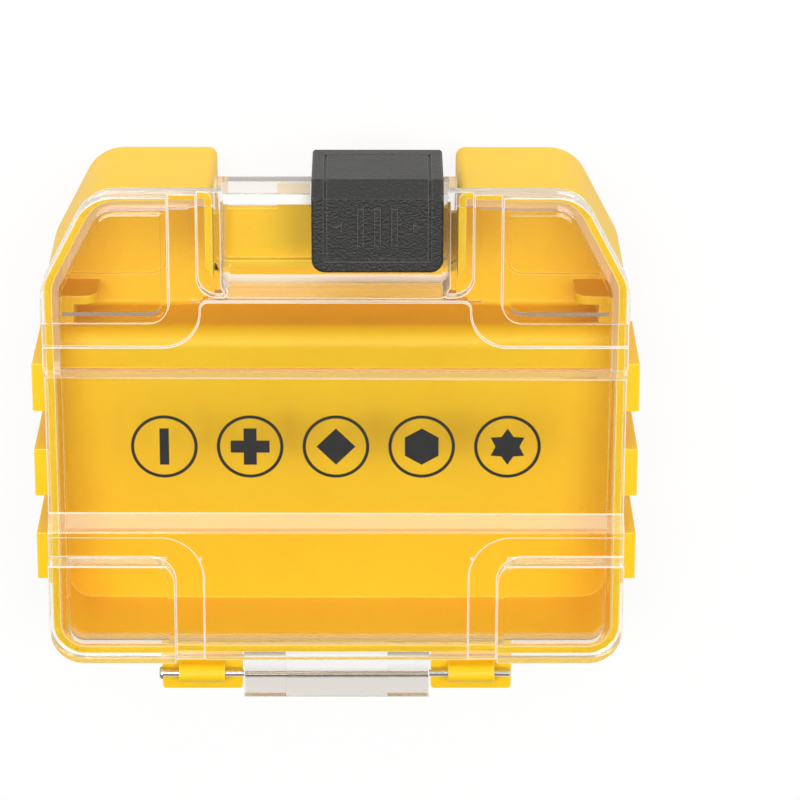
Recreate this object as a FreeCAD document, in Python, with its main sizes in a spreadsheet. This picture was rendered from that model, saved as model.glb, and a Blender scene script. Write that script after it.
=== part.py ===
"""Small storage case: a moulded tray, a clear hinged lid, a sliding latch and a hinge pin.

The case lies on its back. X runs across it, Y from the hinge to the latch, Z from the back to the lid.
Positions along Y are worked out from the middle of the lid, and every sub-part's Placement then moves
the origin to the middle of the footprint.
"""
import FreeCAD, Part
import math
import os
from types import SimpleNamespace

import Sketcher

DIMENSIONS = (
    # Outline of the lid, seen square on
    ("lid_width", 125.0),
    ("lid_height", 107.0),
    ("cut_share", 0.1696),
    ("cut_along", 20.4),
    ("cut_round", 9.0),
    ("corner_round", 7.5),
    # Tray shell
    ("tray_depth", 32.0),
    ("overhang", 0.5),
    ("tray_wall", 1.8),
    ("back_wall", 2.0),
    ("back_round", 1.5),
    ("bay_half", 26.0),
    ("bay_reach", 18.2),
    ("bay_round", 2.0),
    # Sloping panel inside the tray, cored from behind
    ("ledge_place", 17.2),
    ("ledge_round", 1.2),
    ("crest_rise", 17.4),
    ("crest_round", 4.0),
    ("foot_rise", 5.0),
    ("core_margin", 5.0),
    ("core_rib", 1.5),
    ("core_rib_place", 19.0),
    # Shelf tabs and sunk panels inside the tray
    ("shelf_reach", 8.2),
    ("shelf_thick", 2.0),
    ("shelf_length", 11.5),
    ("shelf_rise", 3.8),
    ("shelf_round", 3.5),
    ("gusset_thick", 3.0),
    ("sunk_edge", 37.8),
    ("sunk_rise", 7.0),
    ("sunk_depth", 0.6),
    ("sunk_margin", 1.5),
    ("sunk_round", 3.3),
    # Side ribs
    ("rib_reach", 2.9),
    ("rib_width", 10.9),
    ("rib_pitch", 19.6),
    ("rib_middle", 11.6),
    ("rib_start", 3.0),
    ("rib_stop_gap", 1.0),
    # Lid levels above the tray's rim
    ("lid_frame_rise", 4.6),
    ("lid_middle_rise", 5.2),
    ("lid_window_rise", 7.0),
    ("lid_wall", 1.6),
    ("lid_border", 3.7),
    ("lip_depth", 2.5),
    ("lip_thick", 1.0),
    ("lip_top", 12.0),
    # Raised corner windows of the lid
    ("upper_window_half", 35.3),
    ("upper_window_length", 28.2),
    ("lower_window_half", 35.0),
    ("lower_window_length", 24.4),
    ("lower_window_run", 1.35),
    ("lower_window_round", 5.5),
    ("window_border", 4.4),
    ("window_round", 4.3),
    ("frame_band", 5.8),
    ("frame_step", 0.5),
    ("frame_turn", 1.8),
    ("frame_gap", 0.9),
    ("lower_frame_band", 4.6),
    ("lower_frame_side", 6.2),
    ("lower_frame_round", 9.5),
    # Sunk band across the lid
    ("band_floor_upper", 11.3),
    ("band_floor_lower", 20.3),
    ("band_depth", 3.4),
    ("band_run", 2.8),
    # Trough in the lid for the latch
    ("trough_floor", 24.0),
    ("trough_wall", 1.5),
    ("trough_reach", 22.9),
    ("trough_round", 2.0),
    ("trough_fillet", 1.6),
    ("visor_thick", 2.3),
    ("cheek_width", 5.1),
    ("cheek_depth", 2.0),
    # Keeper wall with two lugs, behind the trough
    ("keeper_gap", 1.9),
    ("keeper_thick", 2.0),
    ("keeper_drop", 7.0),
    ("lug_rise", 4.0),
    ("lug_half", 3.5),
    ("lug_place", 9.0),
    # Latch
    ("latch_width", 27.7),
    ("latch_shift", 8.9),
    ("latch_rise", 4.0),
    ("latch_front", 2.0),
    ("latch_flap", 2.2),
    ("latch_drop", 15.95),
    ("latch_bevel_rise", 3.6),
    ("latch_bevel_run", 2.4),
    ("latch_lip", 2.5),
    ("latch_lip_reach", 3.0),
    ("latch_guide", 2.2),
    ("latch_guide_drop", 2.8),
    ("latch_corner", 2.8),
    ("latch_edge", 0.6),
    ("latch_groove", 0.3),
    ("latch_groove_width", 0.5),
    ("latch_margin", 2.6),
    ("latch_top_margin", 3.2),
    ("grip_half", 0.75),
    ("grip_length", 8.4),
    ("grip_pitch", 3.6),
    ("grip_rise", 0.4),
    ("grip_middle", 10.2),
    ("arrow_place", 7.4),
    ("arrow_size", 1.8),
    ("tooth_thick", 2.2),
    ("tooth_half", 2.5),
    ("tooth_overlap", 2.5),
    # Hinge
    ("pin_radius", 0.75),
    ("pin_away", 5.9),
    ("pin_end", 3.5),
    ("pin_head_radius", 1.5),
    ("pin_head_thick", 0.9),
    ("pin_chamfer", 0.2),
    ("leaf_start", 20.8),
    ("leaf_length", 17.8),
    ("leaf_thick", 2.0),
    ("leaf_tail", 4.9),
    ("leaf_round", 0.8),
    ("knuckle_start", 3.8),
    ("knuckle_length", 10.2),
    ("knuckle_radius", 2.1),
    ("knuckle_base", 2.5),
    ("tab_half", 20.4),
    ("tab_tail", 5.1),
    ("tab_under", 2.0),
    ("tab_over", 2.0),
    ("tab_grip", 9.2),
    ("tab_skin", 1.8),
    ("tab_round", 0.8),
    # Clearances
    ("fit_gap", 0.3),
    ("press_gap", 0.02),
    ("run_gap", 0.05),
    ("merge", 0.6),
)


class Size:
    """A length that keeps its formula in the sheet together with its present value."""

    def __init__(self, formula, value):
        self.formula = formula
        self.value = value

    def joined(self, other, sign, value):
        right = other.formula if isinstance(other, Size) else repr(float(other))
        return Size("(%s %s %s)" % (self.formula, sign, right), value)

    def __add__(self, other):
        return self.joined(other, "+", self.value + number(other))

    def __sub__(self, other):
        return self.joined(other, "-", self.value - number(other))

    def __mul__(self, other):
        return self.joined(other, "*", self.value * number(other))

    def __truediv__(self, other):
        return self.joined(other, "/", self.value / number(other))

    def __neg__(self):
        return self * -1

    def root(self):
        return Size("sqrt(%s)" % self.formula, math.sqrt(self.value))


def number(size):
    return size.value if isinstance(size, Size) else float(size)


doc = FreeCAD.newDocument("storage_case")
sheet = doc.addObject("Spreadsheet::Sheet", "dims")
dim = SimpleNamespace()
for row, (alias, length) in enumerate(DIMENSIONS, start=1):
    sheet.set("A%d" % row, alias)
    sheet.set("B%d" % row, str(length))
    sheet.setAlias("B%d" % row, alias)
    setattr(dim, alias, Size("dims." + alias, length))
doc.recompute()

# Places that several sub-parts share
lid_half = dim.lid_width / 2
lid_top = dim.lid_height / 2
tray_half = lid_half - dim.overhang
tray_top = lid_top - dim.overhang
cavity_half = tray_half - dim.tray_wall
cavity_top = tray_top - dim.tray_wall
rim = dim.tray_depth
bay_floor = tray_top - dim.bay_reach
bay_inner = dim.bay_half + dim.tray_wall
bay_ceiling = bay_floor - dim.tray_wall
pin_y = -(tray_top + dim.pin_away)
pin_z = rim
tab_end = pin_y - dim.tab_tail
frame_level = rim + dim.lid_frame_rise
middle_level = rim + dim.lid_middle_rise
window_level = rim + dim.lid_window_rise
visor_under = lid_top - dim.visor_thick
trough_half = dim.bay_half - dim.fit_gap
trough_low = lid_top - dim.trough_reach
keeper_front = dim.trough_floor - dim.keeper_gap
keeper_back = keeper_front - dim.keeper_thick
keeper_top = tray_top - dim.keeper_drop
latch_top = lid_top + dim.latch_rise
latch_face = window_level + dim.latch_front
tooth_front = keeper_back - dim.fit_gap
latch_back = tooth_front - dim.tooth_thick
latch_half = dim.latch_width / 2
cut_across = lid_half * dim.cut_share
cut_slant = (cut_across * cut_across + dim.cut_along * dim.cut_along).root()
side_creep = (cut_slant - dim.cut_along) / cut_across
top_creep = (cut_slant - cut_across) / dim.cut_along


def cut_corner(inset):
    """The two points of the right upper cut corner, on the lid's outline moved in by inset."""
    low = (lid_half - inset, lid_top - dim.cut_along - inset * side_creep)
    high = (lid_half - cut_across - inset * top_creep, lid_top - inset)
    return low, high


def mirrored(points):
    """The same points on the left side, in the order that keeps the outline running one way."""
    return [(-x, y) for x, y in reversed(points)]


def case_outline(inset, notch=()):
    """The case's outline moved in by inset, with any notch in its upper edge."""
    foot = (lid_half - inset, -(lid_top - inset))
    low, high = cut_corner(inset)
    right = [foot, low, high] + list(notch)
    return right + mirrored(right)


def rectangle(left, right, low, high):
    return [(left, low), (right, low), (right, high), (left, high)]


def both_sides(loop):
    return [loop, mirrored(loop)]


def new_body(label):
    body = doc.addObject("PartDesign::Body", label)
    body.Label = label
    return body


def sketch_on(body, name, role, offset):
    """An empty sketch on one of the body's own planes, moved along its normal by offset."""
    plane = next(item for item in body.Origin.OriginFeatures if item.Role == role)
    sketch = body.newObject("Sketcher::SketchObject", name)
    sketch.AttachmentSupport = [(plane, "")]
    sketch.MapMode = "FlatFace"
    sketch.AttachmentOffset = FreeCAD.Placement(FreeCAD.Vector(0, 0, number(offset)), FreeCAD.Rotation())
    if isinstance(offset, Size):
        sketch.setExpression("AttachmentOffset.Base.z", offset.formula)
    return sketch


def pin_point(sketch, geometry, position, x, y):
    """Hold one point of the sketch at a place given by two sizes."""
    for kind, size in (("DistanceX", x), ("DistanceY", y)):
        place = sketch.addConstraint(Sketcher.Constraint(kind, -1, 1, geometry, position, number(size)))
        sketch.setExpression("Constraints[%d]" % place, size.formula)


def draw_loop(sketch, points):
    """A closed run of straight lines through the points."""
    first = sketch.GeometryCount
    count = len(points)
    places = [FreeCAD.Vector(number(x), number(y), 0) for x, y in points]
    for index in range(count):
        sketch.addGeometry(Part.LineSegment(places[index], places[(index + 1) % count]))
    for index in range(count):
        following = first + (index + 1) % count
        sketch.addConstraint(Sketcher.Constraint("Coincident", first + index, 2, following, 1))
    for index, (x, y) in enumerate(points):
        pin_point(sketch, first + index, 1, x, y)


def draw_circle(sketch, x, y, radius):
    centre = FreeCAD.Vector(number(x), number(y), 0)
    circle = sketch.addGeometry(Part.Circle(centre, FreeCAD.Vector(0, 0, 1), number(radius)))
    pin_point(sketch, circle, 3, x, y)
    place = sketch.addConstraint(Sketcher.Constraint("Radius", circle, number(radius)))
    sketch.setExpression("Constraints[%d]" % place, radius.formula)


def extrude(body, kind, sketch, length, reverse):
    """Pad or pocket a sketch over a length, and check that it changed the body."""
    before = body.Shape.Volume if body.Tip else 0.0
    feature = body.newObject(kind, sketch.Name + "_run")
    feature.Profile = sketch
    feature.Length = number(length)
    feature.setExpression("Length", length.formula)
    feature.Reversed = reverse
    doc.recompute()
    if abs(body.Shape.Volume - before) < 1e-6:
        raise RuntimeError("%s changes nothing" % feature.Name)
    return feature


def add(body, name, role, loops, start, end):
    """Add straight-sided material between two levels along the plane's normal."""
    sketch = sketch_on(body, name, role, start)
    for loop in loops:
        draw_loop(sketch, loop)
    return sketch, extrude(body, "PartDesign::Pad", sketch, end - start, False)


def cut(body, name, role, loops, start, end):
    """Cut a straight-sided hollow between two levels along the plane's normal."""
    sketch = sketch_on(body, name, role, start)
    for loop in loops:
        draw_loop(sketch, loop)
    return sketch, extrude(body, "PartDesign::Pocket", sketch, end - start, True)


def round_edges(body, edges, radius):
    """Round the named edges of the body's last feature."""
    base = body.Tip
    fillet = body.newObject("PartDesign::Fillet", body.Label + "_round")
    fillet.Base = (base, edges)
    fillet.Radius = number(radius)
    fillet.setExpression("Radius", radius.formula)
    doc.recompute()
    return fillet


def edges_where(body, wanted):
    """Names of the body's edges that a test picks."""
    return ["Edge%d" % (index + 1) for index, edge in enumerate(body.Shape.Edges) if wanted(edge)]


def round_corners(body, sketch, corners, radius):
    """Round the edges that rise from the given corners of a sketch."""
    normal = sketch.Placement.Rotation.multVec(FreeCAD.Vector(0, 0, 1))
    places = [sketch.Placement.multVec(sketch.Geometry[corner].StartPoint) for corner in corners]

    def rises(edge):
        if edge.Curve.TypeId != "Part::GeomLine":
            return False
        if abs(edge.tangentAt(edge.FirstParameter).dot(normal)) < 0.999:
            return False
        foot = edge.Vertexes[0].Point
        return any((foot - place).cross(normal).Length < 1e-3 for place in places)

    return round_edges(body, edges_where(body, rises), radius)


def bore(body, name, x_start, x_end, radius):
    """Cut a round hole along the hinge axis."""
    sketch = sketch_on(body, name, "YZ_Plane", x_start)
    draw_circle(sketch, pin_y, pin_z, radius)
    return extrude(body, "PartDesign::Pocket", sketch, x_end - x_start, True)


zero = Size("0", 0.0)
beyond = dim.lid_width


# Tray: one moulding with an outline like the lid's and a bay for the latch in its upper edge
tray = new_body("body_tray")
bay_notch = [(dim.bay_half, tray_top), (dim.bay_half, bay_floor)]
shell, _ = add(tray, "tray_outline", "XY_Plane", [case_outline(dim.overhang, bay_notch)], zero, rim)
cavity_notch = [(bay_inner, cavity_top), (bay_inner, bay_ceiling)]
inset = dim.overhang + dim.tray_wall
hollow, _ = cut(tray, "tray_cavity", "XY_Plane", [case_outline(inset, cavity_notch)], dim.back_wall, rim)
round_corners(tray, hollow, (0, 9), dim.corner_round - inset)
round_corners(tray, hollow, (1, 2, 7, 8), dim.cut_round - dim.tray_wall)
round_corners(tray, hollow, (4, 5), dim.bay_round + dim.tray_wall)

# Sloping panel between its ledge and the lower wall; the shell's outer corners are rounded over its ends
crest = dim.back_wall + dim.crest_rise
foot = dim.back_wall + dim.foot_rise
panel_low = -(cavity_top + dim.merge)
panel = [
    (panel_low, dim.back_wall),
    (dim.ledge_place, dim.back_wall),
    (dim.ledge_place, crest),
    (panel_low, foot),
]
panel_end = cavity_half + dim.merge
panel_sketch, _ = add(tray, "sloping_panel", "YZ_Plane", [panel], -panel_end, panel_end)
round_corners(tray, panel_sketch, (1,), dim.ledge_round)
round_corners(tray, shell, (0, 9), dim.corner_round - dim.overhang)
round_corners(tray, shell, (1, 2, 7, 8), dim.cut_round)
round_corners(tray, shell, (3, 4, 5, 6), dim.bay_round)
round_edges(tray, edges_where(tray, lambda edge: edge.BoundBox.ZMax < 1e-6), dim.back_round)

# Hollows behind the panel that keep its wall even
slope = (crest - foot) / (dim.ledge_place - panel_low)
slant = (slope * slope + 1).root()
skin = dim.tray_wall * slant
core_high = dim.ledge_place - dim.tray_wall
core_top = crest - slope * dim.tray_wall - skin
core_low = dim.core_margin - cavity_top
core_foot = foot + slope * (core_low - panel_low) - skin
core = [(core_low, zero), (core_high, zero), (core_high, core_top), (core_low, core_foot)]
core_end = cavity_half - dim.core_margin
core_inner = dim.core_rib_place - dim.core_rib / 2
core_outer = dim.core_rib_place + dim.core_rib / 2
for name, start, end in (
    ("core_left", -core_end, -core_outer),
    ("core_middle", -core_inner, core_inner),
    ("core_right", core_outer, core_end),
):
    core_sketch, _ = cut(tray, name, "YZ_Plane", [core], start, end)
    round_corners(tray, core_sketch, (2,), dim.crest_round - dim.tray_wall)
round_corners(tray, panel_sketch, (2,), dim.crest_round)

# Sunk panels in the upper corners of the back wall
low, high = cut_corner(inset + dim.sunk_margin)
sunk_low = dim.ledge_place + dim.sunk_rise
sunk_panel = [(dim.sunk_edge, sunk_low), (low[0], sunk_low), low, high, (dim.sunk_edge, high[1])]
sunk_floor = dim.back_wall - dim.sunk_depth
sunk, _ = cut(tray, "sunk_panels", "XY_Plane", both_sides(sunk_panel), sunk_floor, dim.back_wall)
round_corners(tray, sunk, (0, 9), dim.sunk_round)

# Shelf tabs on the side walls, each on a gusset that stands on the ledge
shelf_low = dim.ledge_place + dim.shelf_rise
shelf_end = dim.back_wall + dim.shelf_length
shelf = rectangle(
    cavity_half - dim.shelf_reach, cavity_half + dim.merge, shelf_low, shelf_low + dim.shelf_thick
)
gusset = rectangle(
    cavity_half - dim.gusset_thick,
    cavity_half + dim.merge,
    dim.ledge_place - dim.merge,
    shelf_low + dim.merge,
)
base = dim.back_wall - dim.merge
add(tray, "shelf_tabs", "XY_Plane", both_sides(shelf), base, shelf_end)
add(tray, "shelf_gussets", "XY_Plane", both_sides(gusset), base, shelf_end)


def shelf_corner(edge):
    """The front corner at the inner end of each shelf tab."""
    box = edge.BoundBox
    at_front = box.ZLength < 1e-6 and abs(box.ZMax - number(shelf_end)) < 1e-6
    inner = number(cavity_half - dim.shelf_reach)
    return at_front and box.XLength < 1e-6 and abs(abs(box.XMax) - inner) < 1e-6


round_edges(tray, edges_where(tray, shelf_corner), dim.shelf_round)

# Three ribs along each side, as deep as the side wall
rib_loops = []
for step in (-1, 0, 1):
    rib_low = dim.rib_pitch * step - dim.rib_middle - dim.rib_width / 2
    rib = rectangle(tray_half - dim.merge, lid_half + dim.rib_reach, rib_low, rib_low + dim.rib_width)
    rib_loops += both_sides(rib)
add(tray, "side_ribs", "XY_Plane", rib_loops, dim.rib_start, rim - dim.rib_stop_gap)

# Lowered rim of the bay, and the keeper wall with its two lugs
bay_rim = dim.trough_floor - dim.fit_gap
bay_gap_top = bay_floor + dim.bay_round + dim.merge
bay_gap = rectangle(-dim.bay_half, dim.bay_half, bay_ceiling - dim.merge, bay_gap_top)
cut(tray, "bay_rim", "XY_Plane", [bay_gap], bay_rim, rim)
keeper_end = dim.bay_half + dim.merge
keeper = rectangle(-keeper_end, keeper_end, bay_floor - dim.merge, keeper_top)
add(tray, "keeper_wall", "XY_Plane", [keeper], keeper_back, keeper_front)
lug = rectangle(
    dim.lug_place - dim.lug_half,
    dim.lug_place + dim.lug_half,
    keeper_top - dim.merge,
    keeper_top + dim.lug_rise,
)
add(tray, "keeper_lugs", "XY_Plane", both_sides(lug), keeper_back, keeper_front)

# Two hinge leaves on the lower wall, each with a knuckle that holds the pin
leaf_front = pin_z - dim.knuckle_base
leaf_end = dim.leaf_start + dim.leaf_length
leaf = rectangle(dim.leaf_start, leaf_end, pin_y - dim.leaf_tail, -tray_top + dim.merge)
leaves, _ = add(tray, "hinge_leaves", "XY_Plane", both_sides(leaf), leaf_front - dim.leaf_thick, leaf_front)
round_corners(tray, leaves, (0, 1, 6, 7), dim.leaf_round)
knuckle_in = dim.leaf_start + dim.knuckle_start
knuckle_out = knuckle_in + dim.knuckle_length
knuckle_block = rectangle(
    pin_y - dim.knuckle_radius, pin_y + dim.knuckle_radius, leaf_front - dim.merge, pin_z
)
for side, start, end in (("left", -knuckle_out, -knuckle_in), ("right", knuckle_in, knuckle_out)):
    add(tray, "knuckle_block_" + side, "YZ_Plane", [knuckle_block], start, end)
    barrel = sketch_on(tray, "knuckle_barrel_" + side, "YZ_Plane", start)
    draw_circle(barrel, pin_y, pin_z, dim.knuckle_radius)
    extrude(tray, "PartDesign::Pad", barrel, end - start, False)
    bore(tray, "knuckle_bore_" + side, start, end, dim.pin_radius + dim.press_gap)


# Lid: a clear cover with four raised corner windows, a sunk band and the latch's trough
lid = new_body("lid")
cover, _ = add(lid, "lid_outline", "XY_Plane", [case_outline(zero)], rim, window_level)
round_corners(lid, cover, (0, 5), dim.corner_round)
round_corners(lid, cover, (1, 2, 3, 4), dim.cut_round)

# Deep hollows behind the windows
upper_window = lid_top - dim.upper_window_length
lower_window = -(lid_top - dim.lower_window_length)
low, high = cut_corner(dim.window_border)
window_in = dim.upper_window_half + dim.lid_wall
window_foot = upper_window + dim.lid_wall
upper_hollow = [(window_in, window_foot), (low[0], window_foot), low, high, (window_in, high[1])]
window_ceiling = window_level - dim.lid_wall
upper, _ = cut(lid, "upper_windows", "XY_Plane", both_sides(upper_hollow), rim, window_ceiling)
round_corners(lid, upper, (0, 9), dim.window_round - dim.lid_wall)
round_corners(lid, upper, (2, 3, 6, 7), dim.cut_round - dim.window_border)
lower_hollow = rectangle(
    dim.lower_window_half + dim.lid_wall,
    lid_half - dim.window_border,
    -(lid_top - dim.window_border),
    lower_window - dim.lid_wall,
)
lower, _ = cut(lid, "lower_windows", "XY_Plane", both_sides(lower_hollow), rim, window_ceiling)
round_corners(lid, lower, (1, 6), dim.corner_round - dim.window_border)
round_corners(lid, lower, (3, 4), dim.lower_window_round - dim.lid_wall)

# Lower middle of the lid, which leaves the windows standing in the corners
cross_right = [
    (dim.lower_window_half, -beyond),
    (dim.lower_window_half, lower_window),
    (beyond, lower_window),
    (beyond, upper_window),
    (dim.upper_window_half, upper_window),
    (dim.upper_window_half, beyond),
]
cross_loop = cross_right + mirrored(cross_right)
cross, _ = cut(lid, "between_windows", "XY_Plane", [cross_loop], middle_level, window_level)

# Shallow frame round the windows, one step below the middle of the lid
frame_low = upper_window - dim.frame_band
frame_high = trough_low - dim.frame_gap
frame_sweep = frame_high - frame_low - dim.frame_turn - dim.merge
cheek_half = trough_half - dim.trough_wall + dim.cheek_width
frame_neck = cheek_half - dim.frame_step
frame_right = [
    (frame_neck, frame_high),
    (frame_neck, frame_low),
    (beyond, frame_low),
    (beyond, upper_window),
    (dim.upper_window_half, upper_window),
    (dim.upper_window_half, beyond),
]
frame_loop = frame_right + mirrored(frame_right)
frame, _ = cut(lid, "upper_frame", "XY_Plane", [frame_loop], frame_level, middle_level)
round_corners(lid, frame, (0, 11), dim.frame_turn)
round_corners(lid, frame, (1, 10), frame_sweep)
lower_frame_in = dim.lower_window_half - dim.lower_frame_side
lower_frame_high = lower_window + dim.lower_frame_band
lower_frame = [
    (beyond, lower_window),
    (beyond, lower_frame_high),
    (lower_frame_in, lower_frame_high),
    (lower_frame_in, -beyond),
    (dim.lower_window_half, -beyond),
    (dim.lower_window_half, lower_window),
]
low_frame, _ = cut(lid, "lower_frames", "XY_Plane", both_sides(lower_frame), frame_level, middle_level)
round_corners(lid, low_frame, (2, 9), dim.lower_frame_round)
round_corners(lid, cross, (4, 7), dim.window_round)
round_corners(lid, cross, (1, 10), dim.lower_window_round)

# The lower windows rise from their frames with a slope
step_rise = (window_level - frame_level) * 2
step_run = dim.lower_window_run * 2
window_step = [
    (lower_window, frame_level),
    (lower_window, frame_level + step_rise),
    (lower_window - step_run, frame_level + step_rise),
]
step_start = lower_frame_in + dim.merge
cut(lid, "window_step_left", "YZ_Plane", [window_step], -beyond, -step_start)
cut(lid, "window_step_right", "YZ_Plane", [window_step], step_start, beyond)

# Shallow hollow under the rest of the lid
ceiling = frame_level - dim.lid_wall
under, _ = cut(lid, "lid_cavity", "XY_Plane", [case_outline(dim.lid_border)], rim, ceiling)
round_corners(lid, under, (0, 5), dim.corner_round - dim.lid_border)
round_corners(lid, under, (1, 2, 3, 4), dim.cut_round - dim.lid_border)

# Sunk band across the lid, with sloping walls above and below it
band_floor = middle_level - dim.band_depth
band_slope = dim.band_run / dim.band_depth
band_drop = band_floor - dim.lid_wall
band_lift = ceiling + dim.lid_wall / 2
under_run = band_slope * (band_lift - band_drop)
band_side = dim.lid_wall / 2
band_upper = dim.band_floor_upper + band_side
band_lower = -(dim.band_floor_lower + band_side)
band_under = [
    (band_lower, band_drop),
    (band_upper, band_drop),
    (band_upper + under_run, band_lift),
    (band_lower - under_run, band_lift),
]
band_end = lid_half - dim.lid_border + dim.merge
add(lid, "band_underside", "YZ_Plane", [band_under], -band_end, band_end)
over_lift = dim.band_depth * 2
over_run = dim.band_run * 2
band = [
    (-dim.band_floor_lower, band_floor),
    (dim.band_floor_upper, band_floor),
    (dim.band_floor_upper + over_run, band_floor + over_lift),
    (-(dim.band_floor_lower + over_run), band_floor + over_lift),
]
cut(lid, "sunk_band", "YZ_Plane", [band], -beyond, beyond)

# Trough for the latch: a floor, three walls and a visor along the upper edge that the latch rides on
trough_foot = trough_low - dim.trough_wall
trough = rectangle(-trough_half, trough_half, trough_foot, lid_top)
add(lid, "trough", "XY_Plane", [trough], dim.trough_floor, frame_level)
cheek_floor = frame_level - dim.cheek_depth
brow_half = cheek_half + dim.lid_wall
brow = rectangle(-brow_half, brow_half, trough_foot, lid_top)
add(lid, "trough_brow", "XY_Plane", [brow], cheek_floor - dim.lid_wall, frame_level)
trough_in = trough_half - dim.trough_wall
basin = rectangle(-trough_in, trough_in, trough_low, visor_under)
basin_floor = dim.trough_floor + dim.trough_wall
basin_sketch, _ = cut(lid, "basin", "XY_Plane", [basin], basin_floor, window_level)
round_corners(lid, basin_sketch, (0, 1), dim.trough_round)


def basin_edge(edge):
    """The trough floor's edges, apart from the one under the visor."""
    box = edge.BoundBox
    if box.ZLength > 1e-6 or abs(box.ZMax - number(basin_floor)) > 1e-6:
        return False
    inside = max(abs(box.XMin), abs(box.XMax)) < number(trough_in) + 1e-6
    return inside and box.YMin < number(visor_under) - 1e-6


round_edges(lid, edges_where(lid, basin_edge), dim.trough_fillet)
cheek = rectangle(trough_in - dim.merge, cheek_half, trough_low, beyond)
cheeks, _ = cut(lid, "cheeks", "XY_Plane", both_sides(cheek), cheek_floor, window_level)
round_corners(lid, cheeks, (1, 6), dim.window_round)

# Lip that drops inside the tray's wall, round the lower part of the rim
lip_out = lid_half - inset - dim.fit_gap
lip_low = -(lid_top - inset - dim.fit_gap)
lip_in = lip_out - dim.lip_thick
lip_right = [
    (lip_out, lip_low),
    (lip_out, dim.lip_top),
    (lip_in, dim.lip_top),
    (lip_in, lip_low + dim.lip_thick),
]
lip_loop = lip_right + mirrored(lip_right)
lip, _ = add(lid, "lip", "XY_Plane", [lip_loop], rim - dim.lip_depth, rim + dim.merge)
lip_round = dim.corner_round - inset - dim.fit_gap
round_corners(lid, lip, (3, 4), lip_round - dim.lip_thick)
round_corners(lid, lip, (0, 7), lip_round)

# Hinge tab between the leaves: cored in the middle, with a bore for the pin from end to end
tab_low = pin_z - dim.tab_under
tab_high = pin_z + dim.tab_over
tab_back = -(lid_top + dim.fit_gap)
tab = [
    (tab_end, tab_low),
    (tab_back, tab_low),
    (tab_back, rim),
    (dim.merge - lid_top, rim),
    (dim.merge - lid_top, tab_high),
    (tab_end, tab_high),
]
tab_sketch, _ = add(lid, "hinge_tab", "YZ_Plane", [tab], -dim.tab_half, dim.tab_half)
round_corners(lid, tab_sketch, (0, 5), dim.tab_round)
tab_core = dim.tab_half - dim.tab_grip
core_loop = rectangle(-tab_core, tab_core, tab_end - dim.merge, tab_back + dim.merge)
cut(lid, "tab_core", "XY_Plane", [core_loop], tab_low, tab_high - dim.tab_skin)
bore(lid, "tab_bore", -dim.tab_half, dim.tab_half, dim.pin_radius + dim.run_gap)


# Latch: a clip that slides along the visor, with two teeth that reach behind the keeper's lugs
latch = new_body("latch")
flap_back = latch_face - dim.latch_flap
flap_end = lid_top - dim.latch_drop
over_visor = lid_top + dim.fit_gap
lip_over = visor_under - dim.fit_gap
lip_under = lip_over - dim.latch_lip
visor_front = frame_level + dim.fit_gap
guide_front = dim.trough_floor - dim.fit_gap
guide_back = guide_front - dim.latch_guide
latch_profile = [
    (latch_top, latch_back),
    (latch_top, latch_face - dim.latch_bevel_run),
    (latch_top - dim.latch_bevel_rise, latch_face),
    (flap_end, latch_face),
    (flap_end, flap_back),
    (lip_under, flap_back),
    (lip_under, visor_front - dim.latch_lip_reach),
    (lip_over, visor_front - dim.latch_lip_reach),
    (lip_over, visor_front),
    (over_visor, visor_front),
    (over_visor, guide_front),
    (over_visor - dim.latch_guide_drop, guide_front),
    (over_visor - dim.latch_guide_drop, guide_back),
    (over_visor, guide_back),
    (over_visor, latch_back),
]
latch_left = dim.latch_shift - latch_half
latch_right = dim.latch_shift + latch_half
clip, _ = add(latch, "clip", "YZ_Plane", [latch_profile], latch_left, latch_right)


def flap_corner(edge):
    """The flap's two lower corners, seen square on."""
    box = edge.BoundBox
    return box.YLength < 1e-6 and abs(box.YMax - number(flap_end)) < 1e-6 and box.XLength < 1e-6


round_edges(latch, edges_where(latch, flap_corner), dim.latch_corner)
round_corners(latch, clip, (1, 2, 3), dim.latch_edge)
tooth = rectangle(
    dim.lug_place - dim.tooth_half,
    dim.lug_place + dim.tooth_half,
    keeper_top + dim.lug_rise - dim.tooth_overlap,
    over_visor + dim.merge,
)
teeth = [[(x + dim.latch_shift, y) for x, y in loop] for loop in both_sides(tooth)]
add(latch, "teeth", "XY_Plane", teeth, latch_back, tooth_front)

# Fine groove round the latch's face, which runs over the bevel and closes on the top
face_low = flap_end + dim.latch_margin
face_high = latch_top - dim.latch_bevel_rise - dim.latch_edge * 2
face_left = latch_left + dim.latch_margin
face_right = latch_right - dim.latch_margin
line = dim.latch_groove_width
depth = dim.latch_groove
face_groove = [
    (face_left, face_high),
    (face_left, face_low),
    (face_right, face_low),
    (face_right, face_high),
    (face_right - line, face_high),
    (face_right - line, face_low + line),
    (face_left + line, face_low + line),
    (face_left + line, face_high),
]
cut(latch, "face_groove", "XY_Plane", [face_groove], latch_face - depth, latch_face)
bevel_rise = dim.latch_bevel_rise
bevel_run = dim.latch_bevel_run
bevel_slant = (bevel_rise * bevel_rise + bevel_run * bevel_run).root()
top_groove = latch_back + dim.latch_top_margin
over_groove = [
    (face_high - dim.merge, latch_face - depth),
    (latch_top - bevel_rise - depth * (bevel_slant - bevel_rise) / bevel_run, latch_face - depth),
    (latch_top - depth, latch_face - bevel_run - depth * (bevel_slant - bevel_run) / bevel_rise),
    (latch_top - depth, top_groove),
    (latch_top + dim.merge, top_groove),
    (latch_top + dim.merge, latch_face + dim.merge),
    (face_high - dim.merge, latch_face + dim.merge),
]
cut(latch, "over_groove_left", "YZ_Plane", [over_groove], face_left, face_left + line)
cut(latch, "over_groove_right", "YZ_Plane", [over_groove], face_right - line, face_right)
top_line = rectangle(latch_top - depth, latch_top + dim.merge, top_groove, top_groove + line)
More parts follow.
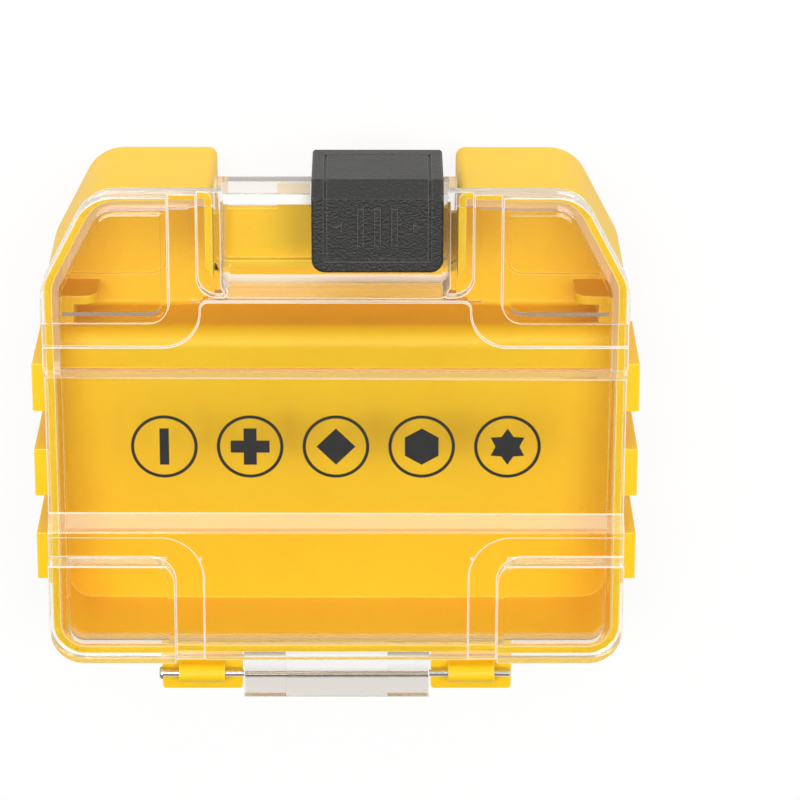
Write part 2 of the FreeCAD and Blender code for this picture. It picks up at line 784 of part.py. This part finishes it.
cut(latch, "top_groove", "YZ_Plane", [top_line], face_left + line / 2, face_right - line / 2)

# Three grip bars and two arrowheads that show the way the latch slides
grip_low = flap_end + dim.grip_middle - dim.grip_length / 2
grips = []
for step in (-1, 0, 1):
    grip_x = dim.latch_shift + dim.grip_pitch * step
    grip_high = grip_low + dim.grip_length
    grips.append(rectangle(grip_x - dim.grip_half, grip_x + dim.grip_half, grip_low, grip_high))
grip_top = latch_face + dim.grip_rise
add(latch, "grip_bars", "XY_Plane", grips, latch_face - depth, grip_top)
arrow_y = flap_end + dim.grip_middle
arrow_right = dim.latch_shift + dim.arrow_place
arrow_left = dim.latch_shift - dim.arrow_place
arrow_half = dim.arrow_size / 2
arrow_foot = arrow_y - arrow_half
arrow_head = arrow_y + arrow_half
arrows = [
    [(arrow_right, arrow_foot), (arrow_right + dim.arrow_size, arrow_y), (arrow_right, arrow_head)],
    [(arrow_left, arrow_head), (arrow_left - dim.arrow_size, arrow_y), (arrow_left, arrow_foot)],
]
add(latch, "arrowheads", "XY_Plane", arrows, latch_face - depth, grip_top)


# Hinge pin: drawn wire, pressed into both knuckles, with a rounded head at its left end
pin = new_body("hinge_pin")
pin_reach = knuckle_out + dim.pin_end
shank = sketch_on(pin, "pin_shank", "YZ_Plane", -pin_reach)
draw_circle(shank, pin_y, pin_z, dim.pin_radius)
extrude(pin, "PartDesign::Pad", shank, pin_reach * 2, False)
plain_end = edges_where(pin, lambda edge: edge.BoundBox.XMin > number(pin_reach) - 1e-6)
round_edges(pin, plain_end, dim.pin_chamfer)
head = sketch_on(pin, "pin_head", "YZ_Plane", -(pin_reach + dim.pin_head_thick))
draw_circle(head, pin_y, pin_z, dim.pin_head_radius)
extrude(pin, "PartDesign::Pad", head, dim.pin_head_thick, False)
crown = pin.Shape.BoundBox.XMin
crown_edges = edges_where(pin, lambda edge: edge.BoundBox.XMax < crown + 1e-6)
round_edges(pin, crown_edges, dim.pin_head_thick - dim.pin_chamfer)

sub_parts = (tray, lid, latch, pin)
middle = (latch_top + tab_end) / 2
for body in sub_parts:
    body.Placement = FreeCAD.Placement(FreeCAD.Vector(0, -number(middle), 0), FreeCAD.Rotation())
    body.setExpression("Placement.Base.y", (-middle).formula)
doc.recompute()

for item in doc.Objects:
    if "Invalid" in item.State or "Error" in item.State:
        raise RuntimeError("%s failed: %s" % (item.Name, item.State))
for body in sub_parts:
    if body.Shape.isNull() or not body.Shape.isValid() or len(body.Shape.Solids) != 1:
        raise RuntimeError("%s has no sound solid" % body.Label)

os.makedirs("parts", exist_ok=True)
for body in sub_parts:
    body.Shape.exportStep(os.path.join("parts", body.Label + ".step"))
    print("%s: %.1f mm3" % (body.Label, body.Shape.Volume))
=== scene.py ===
"""Looks of a small storage case: a yellow tray, a clear lid with a sliding latch, and a pinned hinge."""
import math

import bmesh
import bpy
from mathutils import Matrix, Vector
from mathutils.bvhtree import BVHTree


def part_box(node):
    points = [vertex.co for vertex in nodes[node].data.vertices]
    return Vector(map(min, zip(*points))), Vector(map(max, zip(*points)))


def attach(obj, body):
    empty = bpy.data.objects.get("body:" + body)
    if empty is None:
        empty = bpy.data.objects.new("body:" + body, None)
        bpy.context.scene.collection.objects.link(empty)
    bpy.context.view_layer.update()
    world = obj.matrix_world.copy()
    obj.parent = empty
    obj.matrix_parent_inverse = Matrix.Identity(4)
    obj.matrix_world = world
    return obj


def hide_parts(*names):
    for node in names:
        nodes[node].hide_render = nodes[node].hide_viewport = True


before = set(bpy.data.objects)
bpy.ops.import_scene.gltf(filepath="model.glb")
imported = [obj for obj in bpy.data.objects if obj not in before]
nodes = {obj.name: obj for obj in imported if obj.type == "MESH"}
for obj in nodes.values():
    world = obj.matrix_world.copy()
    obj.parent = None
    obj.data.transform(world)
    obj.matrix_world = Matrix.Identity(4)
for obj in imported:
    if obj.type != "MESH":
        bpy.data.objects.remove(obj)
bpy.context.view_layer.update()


# Tray: one injection moulding in yellow polypropylene, satin outside and with a fine spark-eroded
# grain inside. Ribs, hinge leaves, shelf tabs and the latch's keeper are moulded with it.
def grain_group(name):
    """Moulded skin: fine pits over soft waves, as a height and as a slow change of shade."""
    group = bpy.data.node_groups.new(name, "ShaderNodeTree")
    sockets = group.interface
    for label, value in (("Pits per metre", 2600.0), ("Waves per metre", 60.0), ("Wave share", 0.3)):
        socket = sockets.new_socket(label, in_out="INPUT", socket_type="NodeSocketFloat")
        socket.default_value = value
    for label in ("Height", "Shade"):
        sockets.new_socket(label, in_out="OUTPUT", socket_type="NodeSocketFloat")
    tree = group.nodes
    entry = tree.new("NodeGroupInput")
    leave = tree.new("NodeGroupOutput")
    place = tree.new("ShaderNodeTexCoord")
    pits = tree.new("ShaderNodeTexNoise")
    pits.inputs["Detail"].default_value = 2.0
    waves = tree.new("ShaderNodeTexNoise")
    waves.inputs["Detail"].default_value = 3.0
    mix = tree.new("ShaderNodeMix")
    join = group.links.new
    join(place.outputs["Object"], pits.inputs["Vector"])
    join(place.outputs["Object"], waves.inputs["Vector"])
    join(entry.outputs["Pits per metre"], pits.inputs["Scale"])
    join(entry.outputs["Waves per metre"], waves.inputs["Scale"])
    join(entry.outputs["Wave share"], mix.inputs["Factor"])
    join(pits.outputs["Fac"], mix.inputs["A"])
    join(waves.outputs["Fac"], mix.inputs["B"])
    join(mix.outputs["Result"], leave.inputs["Height"])
    join(waves.outputs["Fac"], leave.inputs["Shade"])
    return group


def colour_mix(tree):
    """The sockets of a new Mix node for colours: its share, its two colours and its result."""
    node = tree.nodes.new("ShaderNodeMix")
    node.data_type = "RGBA"
    entry = {socket.identifier: socket for socket in node.inputs}
    leave = {socket.identifier: socket for socket in node.outputs}
    return entry["Factor_Float"], entry["A_Color"], entry["B_Color"], leave["Result_Color"]


def wear_and_highlight_group(name):
    """Edge wear and painted highlight: the coat's colour, moved towards a lighter colour where the
    piece's edges are rounded.
    """
    group = bpy.data.node_groups.new(name, "ShaderNodeTree")
    sockets = group.interface
    for label in ("Coat", "Worn and lit"):
        sockets.new_socket(label, in_out="INPUT", socket_type="NodeSocketColor")
    sockets.new_socket("Share", in_out="INPUT", socket_type="NodeSocketFloat")
    sockets.new_socket("Colour", in_out="OUTPUT", socket_type="NodeSocketColor")
    entry = group.nodes.new("NodeGroupInput")
    leave = group.nodes.new("NodeGroupOutput")
    mark = group.nodes.new("ShaderNodeAttribute")
    mark.attribute_name = "edge"
    part = group.nodes.new("ShaderNodeMath")
    part.operation = "MULTIPLY"
    share, coat, worn_and_lit, colour = colour_mix(group)
    join = group.links.new
    join(mark.outputs["Fac"], part.inputs[0])
    join(entry.outputs["Share"], part.inputs[1])
    join(part.outputs["Value"], share)
    join(entry.outputs["Coat"], coat)
    join(entry.outputs["Worn and lit"], worn_and_lit)
    join(colour, leave.inputs["Colour"])
    return group


def new_finish(name):
    """A material with its Principled shader, ready for the finish's own nodes."""
    finish = bpy.data.materials.new(name)
    finish.use_nodes = True
    return finish, finish.node_tree, finish.node_tree.nodes["Principled BSDF"]


def add_grain(tree, shader, settings, depth):
    """Place the moulded grain in a finish and let it roughen the surface by depth, in metres."""
    skin = tree.nodes.new("ShaderNodeGroup")
    skin.node_tree = moulded_grain
    for label, value in settings.items():
        skin.inputs[label].default_value = value
    bump = tree.nodes.new("ShaderNodeBump")
    bump.inputs["Distance"].default_value = depth
    tree.links.new(skin.outputs["Height"], bump.inputs["Height"])
    tree.links.new(bump.outputs["Normal"], shader.inputs["Normal"])
    return skin


def vary_colour(tree, skin, shader, low, high):
    """Let the grain's slow shade move the base colour between two colours."""
    ramp = tree.nodes.new("ShaderNodeValToRGB")
    ramp.color_ramp.elements[0].color = (*low, 1)
    ramp.color_ramp.elements[1].color = (*high, 1)
    tree.links.new(skin.outputs["Shade"], ramp.inputs["Fac"])
    tree.links.new(ramp.outputs["Color"], shader.inputs["Base Color"])


def vary_roughness(tree, skin, shader, low, high):
    """Let the grain's slow shade move the roughness between two values."""
    spread = tree.nodes.new("ShaderNodeMapRange")
    spread.inputs["To Min"].default_value = low
    spread.inputs["To Max"].default_value = high
    tree.links.new(skin.outputs["Shade"], spread.inputs["Value"])
    tree.links.new(spread.outputs["Result"], shader.inputs["Roughness"])


def wear_and_highlight_edges(tree, shader, colour, share):
    """Place the edge wear and painted highlight in a finish that has its coat's colour, as handling rubs
    its edges and as they catch light.
    """
    coat = shader.inputs["Base Color"].links[0].from_socket
    rub_and_highlight = tree.nodes.new("ShaderNodeGroup")
    rub_and_highlight.node_tree = edge_wear_and_highlight
    rub_and_highlight.inputs["Worn and lit"].default_value = (*colour, 1)
    rub_and_highlight.inputs["Share"].default_value = share
    tree.links.new(coat, rub_and_highlight.inputs["Coat"])
    tree.links.new(rub_and_highlight.outputs["Colour"], shader.inputs["Base Color"])


moulded_grain = grain_group("moulded_grain")
edge_wear_and_highlight = wear_and_highlight_group("edge_wear_and_highlight")
tray_grain_depth = 0.00008
tray_finish, tray_tree, tray_shader = new_finish("yellow_polypropylene")
tray_skin = add_grain(
    tray_tree, tray_shader, {"Pits per metre": 2200.0, "Wave share": 0.2}, tray_grain_depth
)
vary_colour(tray_tree, tray_skin, tray_shader, (0.92, 0.55, 0.005), (0.95, 0.61, 0.008))
wear_and_highlight_edges(tray_tree, tray_shader, (0.97, 0.72, 0.10), 0.6)
vary_roughness(tray_tree, tray_skin, tray_shader, 0.38, 0.52)
tray_shader.inputs["Subsurface Weight"].default_value = 0.12
tray_shader.inputs["Subsurface Radius"].default_value = (0.002, 0.001, 0.0003)
tray_shader.inputs["Subsurface Scale"].default_value = 1.0
tray_shader.inputs["Specular IOR Level"].default_value = 0.35

weld_gap = 1e-6
flat_angle = math.radians(0.5)
crisp_angle = math.radians(30)
shading_angle = math.radians(40)
stray_share = 0.5


def softened(node, name, rounds, bright=None):
    """A copy of a moulded node whose crisp edges are rounded, one width in metres after another.

    Each round has a width, a number of segments, a test for its edges, and the share that its faces get
    in the attribute "edge". bright gives a share to the other faces. A corner that a round throws off
    the surface is set back on it.
    """
    form = bmesh.new()
    form.from_mesh(nodes[node].data)
    marks = form.faces.layers.float.new("edge")
    bmesh.ops.remove_doubles(form, verts=form.verts, dist=weld_gap)
    bmesh.ops.dissolve_limit(form, angle_limit=flat_angle, verts=form.verts, edges=form.edges)
    bmesh.ops.triangulate(form, faces=form.faces, quad_method="BEAUTY", ngon_method="BEAUTY")
    for face in form.faces:
        face[marks] = bright(face) if bright else 0.0
    for width, segments, chosen, share in rounds:
        form.normal_update()
        surface = BVHTree.FromBMesh(form)
        crisp = [
            line for line in form.edges if line.calc_face_angle() > crisp_angle and chosen(line)
        ]
        rounded = bmesh.ops.bevel(
            form, geom=crisp, offset=width, offset_type="OFFSET", affect="EDGES",
            segments=segments, profile=0.5, material=-1, clamp_overlap=False,
        )
        for face in rounded["faces"]:
            face[marks] = share
        for vert in form.verts:
            place, _, _, gap = surface.find_nearest(vert.co)
            if gap > stray_share * width:
                vert.co = place
    form.normal_update()
    for face in form.faces:
        face.smooth = True
    for line in form.edges:
        line.smooth = line.calc_face_angle() < shading_angle
    mesh = bpy.data.meshes.new(name)
    form.to_mesh(mesh)
    form.free()
    piece = bpy.data.objects.new(name, mesh)
    bpy.context.scene.collection.objects.link(piece)
    even = piece.modifiers.new("even_shading", "WEIGHTED_NORMAL")
    even.weight = 100
    even.keep_sharp = True
    return piece


tray = softened("body_tray", "tray", [(0.00025, 2, lambda line: True, 1.0)])
tray.data.materials.append(tray_finish)
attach(tray, "tray")
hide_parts("body_tray")


# Hinge pin: one length of bright drawn steel wire with a domed head on its left end.
# It is pressed through the tray's two knuckles, and the lid's tab turns on it.
steel_grain_depth = 0.000002
steel_finish, steel_tree, steel_shader = new_finish("drawn_steel")
steel_skin = add_grain(
    steel_tree, steel_shader, {"Pits per metre": 5200.0, "Waves per metre": 420.0}, steel_grain_depth
)
vary_colour(steel_tree, steel_skin, steel_shader, (0.74, 0.73, 0.72), (0.86, 0.86, 0.86))
vary_roughness(steel_tree, steel_skin, steel_shader, 0.10, 0.20)
steel_shader.inputs["Metallic"].default_value = 1.0
nodes["hinge_pin"].material_slots[0].material = steel_finish


# Lid: one moulding in clear polycarbonate, polished on both faces, which turns on the pin by its tab.
# Its rounded edges and upright walls are painted milky white as a highlight for the light they gather,
# and its thick tab is a little grey.
lid_grain_depth = 0.00003
lid_finish, lid_tree, lid_shader = new_finish("clear_polycarbonate")
lid_skin = add_grain(
    lid_tree,
    lid_shader,
    {"Pits per metre": 900.0, "Waves per metre": 45.0, "Wave share": 0.9},
    lid_grain_depth,
)
vary_roughness(lid_tree, lid_skin, lid_shader, 0.02, 0.06)
lid_shader.inputs["IOR"].default_value = 1.5
lid_shader.inputs["Transmission Weight"].default_value = 1.0


def math_node(tree, operation, first, second):
    """A Math node fed by two sockets, or by a socket and a plain number."""
    node = tree.nodes.new("ShaderNodeMath")
    node.operation = operation
    for socket, source in zip(node.inputs, (first, second)):
        if isinstance(source, float):
            socket.default_value = source
        else:
            tree.links.new(source, socket)
    return node.outputs["Value"]


def map_range(tree, value, from_min, from_max, to_min, to_max):
    """A Map Range node that spreads a value from one range over another."""
    node = tree.nodes.new("ShaderNodeMapRange")
    ends = {"From Min": from_min, "From Max": from_max, "To Min": to_min, "To Max": to_max}
    for label, end in ends.items():
        node.inputs[label].default_value = end
    tree.links.new(value, node.inputs["Value"])
    return node.outputs["Result"]


def mix_shaders(tree, share, first, second):
    """A Mix Shader between two shaders."""
    node = tree.nodes.new("ShaderNodeMixShader")
    for socket, source in zip(node.inputs, (share, first, second)):
        tree.links.new(source, socket)
    return node.outputs["Shader"]


def split(tree, source):
    """The X, Y and Z of a vector socket."""
    node = tree.nodes.new("ShaderNodeSeparateXYZ")
    tree.links.new(source, node.inputs["Vector"])
    return node.outputs


lid_low, lid_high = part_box("lid")
tab_reach = 0.0070
tab_fade = 0.001
# Painted highlight: steep walls and rounded edges mix in a white diffuse shader in place of the light
# that clear plastic bends and reflects there.
wall_painted_highlight = 0.16
edge_painted_highlight = 0.65
most_bounces = 3.0
lid_place = lid_tree.nodes.new("ShaderNodeTexCoord")
steepness = math_node(lid_tree, "ABSOLUTE", split(lid_tree, lid_place.outputs["Normal"])["Z"], 0.0)
wall_share = map_range(lid_tree, steepness, 0.97, 0.72, 0.0, wall_painted_highlight)
edge_mark = lid_tree.nodes.new("ShaderNodeAttribute")
edge_mark.attribute_name = "edge"
edge_share = math_node(lid_tree, "MULTIPLY", edge_mark.outputs["Fac"], edge_painted_highlight)
painted_highlight_share = math_node(lid_tree, "MAXIMUM", wall_share, edge_share)
# Painted highlight: the white diffuse shader for the walls and rounded edges.
highlight_paint = lid_tree.nodes.new("ShaderNodeBsdfDiffuse")
highlight_paint.inputs["Color"].default_value = (0.95, 0.91, 0.84, 1)
through = lid_tree.nodes.new("ShaderNodeBsdfTransparent")
through.inputs["Color"].default_value = (0.98, 0.975, 0.96, 1)
path = lid_tree.nodes.new("ShaderNodeLightPath")
from_lamp = math_node(
    lid_tree, "MAXIMUM", path.outputs["Is Shadow Ray"], path.outputs["Is Diffuse Ray"]
)
trapped = math_node(lid_tree, "GREATER_THAN", path.outputs["Ray Depth"], most_bounces)
straight = math_node(lid_tree, "MAXIMUM", from_lamp, trapped)
clear_with_highlight = mix_shaders(lid_tree, painted_highlight_share, lid_shader.outputs["BSDF"], highlight_paint.outputs["BSDF"])
lid_surface = mix_shaders(lid_tree, straight, clear_with_highlight, through.outputs["BSDF"])
lid_tree.links.new(lid_surface, lid_tree.nodes["Material Output"].inputs["Surface"])
tab_start = lid_low.y + tab_reach
along = split(lid_tree, lid_place.outputs["Object"])["Y"]
tab_share, thin_tint, thick_tint, lid_tint = colour_mix(lid_tree)
thin_tint.default_value = (0.985, 0.98, 0.97, 1)
thick_tint.default_value = (0.80, 0.76, 0.71, 1)
lid_tree.links.new(map_range(lid_tree, along, tab_start, tab_start - tab_fade, 0.0, 1.0), tab_share)
lid_tree.links.new(lid_tint, lid_shader.inputs["Base Color"])

gentlest_slope = 0.75
steepest_slope = 0.55
slope_skew = 0.01
front_facing = 0.5


def by_slope(line):
    """An edge of the sloping walls above and below the sunk band."""
    return any(
        steepest_slope < face.normal.z < gentlest_slope and abs(face.normal.x) < slope_skew
        for face in line.link_faces
    )


def on_top(line):
    """An edge that borders a face turned to the front of the lid."""
    return max(face.normal.z for face in line.link_faces) > front_facing


visor_level = 0.0366
visor_thick = 0.0023
visor_half = 0.0257
seat_level = 0.032
seat_milk = 0.3
trough_foot = 0.0345
trough_floor = 0.0255
foot_round = 0.0016
foot_steepest = 0.2
foot_flattest = 0.98
level_slack = 1e-4
nearly_flat = 0.9


def highlight_and_matt(face):
    """How milky a face looks: visor edge and trough foot get a full painted highlight for the light they
    pipe and catch, and the seat on the tray is matt.
    """
    middle = face.calc_center_median()
    front = face.normal.z
    inside_visor = abs(middle.x) < visor_half
    at_visor = middle.y > lid_high.y - visor_thick and abs(middle.z - visor_level) < level_slack
    if inside_visor and at_visor and front > nearly_flat:
        return 1.0
    on_foot = abs(middle.y - trough_foot) < foot_round and foot_steepest < front < foot_flattest
    if inside_visor and on_foot and trough_floor < middle.z < trough_floor + foot_round:
        return 1.0
    on_seat = abs(middle.z - seat_level) < level_slack and middle.y > tab_start
    return seat_milk if on_seat and front < -nearly_flat else 0.0


# The last number of each round is its share of the lid's painted highlight.
lid_rounds = [(0.0003, 2, by_slope, 0.3), (0.00024, 2, on_top, 1.0)]
lid = softened("lid", "lid_cover", lid_rounds, highlight_and_matt)
lid.data.materials.append(lid_finish)
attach(lid, "lid")
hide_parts("lid")


# Print: five round badges, each with the outline of a common drive tip, in black screen ink.
# They are printed on the outer face of the lid's sunk band.
badge_pitch = 0.0185
badge_radius = 0.0072
badge_sides = 64
ring_width = 0.0007
tip_radius = 0.0042
blade_share = 0.24
star_waist = 0.62
ink_thickness = 0.00003
ink_gap = 0.000005
ink_depth = 0.000004
band_middle = Vector((0.0, -0.0012, 0.0338 + ink_gap))


def slot_tip(form, place):
    """A flat blade: one long bar."""
    bar = place @ Matrix.Diagonal((blade_share, 1.0, 1.0, 1.0))
    bmesh.ops.create_grid(form, x_segments=1, y_segments=1, size=tip_radius, matrix=bar)


def cross_tip(form, place):
    """A cross: a grid of nine squares without its corners."""
    cross = bmesh.ops.create_grid(form, x_segments=3, y_segments=3, size=tip_radius, matrix=place)
    far = []
    for face in dict.fromkeys(face for vert in cross["verts"] for face in vert.link_faces):
        away = face.calc_center_median() - place.translation
        if min(abs(away.x), abs(away.y)) > tip_radius / 3:
            far.append(face)
    bmesh.ops.delete(form, geom=far, context="FACES")


def polygon_tip(sides, waist=None):
    """A tip with straight sides, or a star when every second corner is drawn in to a waist."""
    def draw(form, place):
        ring = bmesh.ops.create_circle(
            form, cap_ends=True, radius=tip_radius, segments=sides, matrix=place
        )
        if waist:
            inner = ring["verts"][1::2]
            centre = Matrix.Translation(-place.translation)
            bmesh.ops.scale(form, vec=(waist, waist, 1), verts=inner, space=centre)
    return draw


badge_form = bmesh.new()
tips = (slot_tip, cross_tip, polygon_tip(4), polygon_tip(6), polygon_tip(12, star_waist))
for step, draw_tip in enumerate(tips):
    across = (step - (len(tips) - 1) / 2) * badge_pitch
    badge_place = Matrix.Translation(band_middle + Vector((across, 0, 0)))
    rims = []
    for radius in (badge_radius, badge_radius - ring_width):
        rim = bmesh.ops.create_circle(
            badge_form, cap_ends=False, radius=radius, segments=badge_sides, matrix=badge_place
        )
        rims += dict.fromkeys(line for vert in rim["verts"] for line in vert.link_edges)
    bmesh.ops.bridge_loops(badge_form, edges=rims)
    draw_tip(badge_form, badge_place)
raised = bmesh.ops.extrude_face_region(badge_form, geom=list(badge_form.faces))
lifted = [item for item in raised["geom"] if isinstance(item, bmesh.types.BMVert)]
bmesh.ops.translate(badge_form, verts=lifted, vec=(0, 0, ink_thickness))
bmesh.ops.recalc_face_normals(badge_form, faces=badge_form.faces)
badge_mesh = bpy.data.meshes.new("band_print")
badge_form.to_mesh(badge_mesh)
badge_form.free()
badges = bpy.data.objects.new("band_print", badge_mesh)
bpy.context.scene.collection.objects.link(badges)
ink_finish, ink_tree, ink_shader = new_finish("black_screen_ink")
ink_skin = add_grain(
    ink_tree, ink_shader, {"Pits per metre": 4000.0, "Waves per metre": 300.0}, ink_depth
)
vary_colour(ink_tree, ink_skin, ink_shader, (0.010, 0.010, 0.010), (0.018, 0.017, 0.016))
vary_roughness(ink_tree, ink_skin, ink_shader, 0.35, 0.5)
badge_mesh.materials.append(ink_finish)
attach(badges, "lid")


# Latch: one black moulding with a leather-like grain and grey edges, partly rubbed by handling and partly
# a painted highlight.
# It is clipped over the lid's upper edge and slides left and right there.
latch_grain_depth = 0.0003
latch_finish, latch_tree, latch_shader = new_finish("black_grained_plastic")
latch_skin = add_grain(
    latch_tree,
    latch_shader,
    {"Pits per metre": 1900.0, "Waves per metre": 120.0, "Wave share": 0.1},
    latch_grain_depth,
)
vary_colour(latch_tree, latch_skin, latch_shader, (0.012, 0.0115, 0.010), (0.018, 0.017, 0.015))
# Painted highlight: the rounded edges turn grey, partly as rubbing and partly for the light they catch.
wear_and_highlight_edges(latch_tree, latch_shader, (0.16, 0.15, 0.14), 0.5)
vary_roughness(latch_tree, latch_skin, latch_shader, 0.42, 0.55)
latch_ends = [corner.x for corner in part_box("latch")]
end_slack = 1e-5


def at_end(line):
    """An edge round one of the latch's two ends."""
    return any(all(abs(point.co.x - end) < end_slack for point in line.verts) for end in latch_ends)


# The last number of each round is its share of the grey edges, rubbed and painted highlight.
latch_rounds = [
    (0.0005, 3, at_end, 0.2),
    (0.00018, 2, lambda line: line.is_convex, 1.0),
    (0.00013, 2, lambda line: not line.is_convex, 0.0),
]
latch = softened("latch", "latch_clip", latch_rounds)
latch.data.materials.append(latch_finish)
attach(latch, "latch")
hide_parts("latch")


# Floor: a large sheet of white studio card just under the case's back.
# It shines by itself to the camera and in mirror images, as card does that is lit to plain white.
floor_half = 2.0
floor_drop = 0.0002
white_share = 0.9
floor_form = bmesh.new()
floor_place = Matrix.Translation((0, 0, -floor_drop))
bmesh.ops.create_grid(floor_form, x_segments=1, y_segments=1, size=floor_half, matrix=floor_place)
floor_mesh = bpy.data.meshes.new("floor")
floor_form.to_mesh(floor_mesh)
floor_form.free()
floor = bpy.data.objects.new("floor", floor_mesh)
bpy.context.scene.collection.objects.link(floor)
floor_finish, floor_tree, floor_shader = new_finish("white_card")
floor_shader.inputs["Base Color"].default_value = (0.93, 0.93, 0.93, 1)
floor_shader.inputs["Roughness"].default_value = 0.9
floor_shader.inputs["Specular IOR Level"].default_value = 0.1
glow = floor_tree.nodes.new("ShaderNodeEmission")
seen = floor_tree.nodes.new("ShaderNodeLightPath").outputs
in_view = math_node(floor_tree, "MAXIMUM", seen["Is Camera Ray"], seen["Is Glossy Ray"])
in_view = math_node(floor_tree, "MAXIMUM", in_view, seen["Is Transmission Ray"])
white = math_node(floor_tree, "MULTIPLY", in_view, white_share)
floor_surface = mix_shaders(floor_tree, white, floor_shader.outputs["BSDF"], glow.outputs["Emission"])
floor_tree.links.new(floor_surface, floor_tree.nodes["Material Output"].inputs["Surface"])
floor_mesh.materials.append(floor_finish)


# Studio: a pale surround that is brighter on the latch's side of the case.
# Two soft boxes hang in front of the lid, and a low strip stands beyond the latch.
world = bpy.data.worlds.new("studio")
bpy.context.scene.world = world
world.use_nodes = True
sky = world.node_tree
surround = sky.nodes["Background"]
surround.inputs["Color"].default_value = (1, 1, 1, 1)
direction = sky.nodes.new("ShaderNodeTexCoord")
upward = split(sky, direction.outputs["Generated"])["Y"]
brightness = map_range(sky, upward, -0.3, 0.7, 0.25, 0.80)
sky.links.new(brightness, surround.inputs["Strength"])
for name, place, width, height, power in (
    ("left_box", (-0.30, 0.20, 1.05), 0.45, 0.45, 4.8),
    ("right_box", (0.35, 0.20, 1.00), 0.40, 0.40, 4.0),
    ("low_strip", (-0.10, 1.00, 0.06), 0.90, 0.10, 1.0),
):
    lamp = bpy.data.lights.new(name, "AREA")
    lamp.shape = "RECTANGLE"
    lamp.size = width
    lamp.size_y = height
    lamp.energy = power
    lamp_object = bpy.data.objects.new(name, lamp)
    lamp_object.location = place
    lamp_object.rotation_euler = (-Vector(place)).to_track_quat("-Z", "Z").to_euler()
    bpy.context.scene.collection.objects.link(lamp_object)


# Camera: a long lens in front of the lid, 21 degrees towards the latch's side and turned a little.
# Angle, lens and aim were fitted to the outlines of lid and tray in the picture.
focal_pixels = 4022.0
picture_pixels = 800.0
camera_away = 0.9
camera = bpy.data.cameras.new("camera")
camera.sensor_width = 36.0
camera.lens = camera.sensor_width * focal_pixels / picture_pixels
camera.clip_start = 0.01
tilt = Matrix.Rotation(math.radians(-20.83), 4, "X")
turn = Matrix.Rotation(math.radians(-0.42), 4, "Y")
roll = Matrix.Rotation(math.radians(0.18), 4, "Z")
aim = Vector((0.01403, -0.0033, 0.0))
look = turn @ tilt
stand = Matrix.Translation(aim + look @ Vector((0, 0, camera_away)))
camera_object = bpy.data.objects.new("camera", camera)
camera_object.matrix_world = stand @ look @ roll
bpy.context.scene.collection.objects.link(camera_object)
bpy.context.scene.camera = camera_object
bpy.context.scene.view_settings.view_transform = "Standard"
